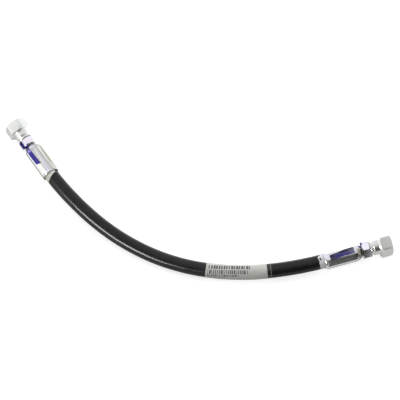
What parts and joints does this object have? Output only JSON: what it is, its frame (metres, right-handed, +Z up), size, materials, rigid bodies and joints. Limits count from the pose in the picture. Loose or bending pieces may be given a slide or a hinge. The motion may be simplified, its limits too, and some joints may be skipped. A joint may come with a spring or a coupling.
{
  "type": "hydraulic hose assembly",
  "caption": "Bent black wire-braid hydraulic hose with a crimped zinc-plated swivel-nut fitting on each end and a white wrap-around label.",
  "frame": {"origin": "centre of the assembly's outline seen from above, on the surface it lies on", "axes": "+Z up; +X along the right fitting towards its open end; the left fitting points 109.3 degrees from +X, seen from above"},
  "size_m": [0.348, 0.2516, 0.0248],
  "materials": {
    "cover_rubber": "smooth black cover, soft sheen",
    "tube_rubber": "matte black nitrile",
    "steel_wire": "brass-coated braided wire",
    "zinc_plate": "bright zinc plate with a faint iridescent passivation",
    "nut_zinc": "satin zinc plate",
    "seal_rubber": "moulded nitrile",
    "label_paper": "printed white label",
    "clear_film": "clear laminate"
  },
  "bodies": {
    "hose_assembly": {"inner_tube": "tube_rubber", "inner_wire_braid": "steel_wire", "friction_layer": "tube_rubber", "outer_wire_braid": "steel_wire", "hose_cover": "cover_rubber", "label": "label_paper", "label_film": "clear_film", "left_ferrule": "zinc_plate", "left_stem": "zinc_plate", "left_cone_seal": "seal_rubber", "right_ferrule": "zinc_plate", "right_stem": "zinc_plate", "right_cone_seal": "seal_rubber"},
    "left_nut": {"left_swivel_nut": "nut_zinc"},
    "right_nut": {"right_swivel_nut": "nut_zinc"}
  },
  "joints": [
    {"name": "left_nut_swivel", "type": "hinge", "parent": "hose_assembly", "child": "left_nut", "pos_m": [-0.13967, 0.05559, 0.0124], "axis": [-0.3305, 0.9438, 0], "continuous": true},
    {"name": "right_nut_swivel", "type": "hinge", "parent": "hose_assembly", "child": "right_nut", "pos_m": [0.10338, -0.11336, 0.01209], "axis": [1, 0, 0], "continuous": true}
  ]
}
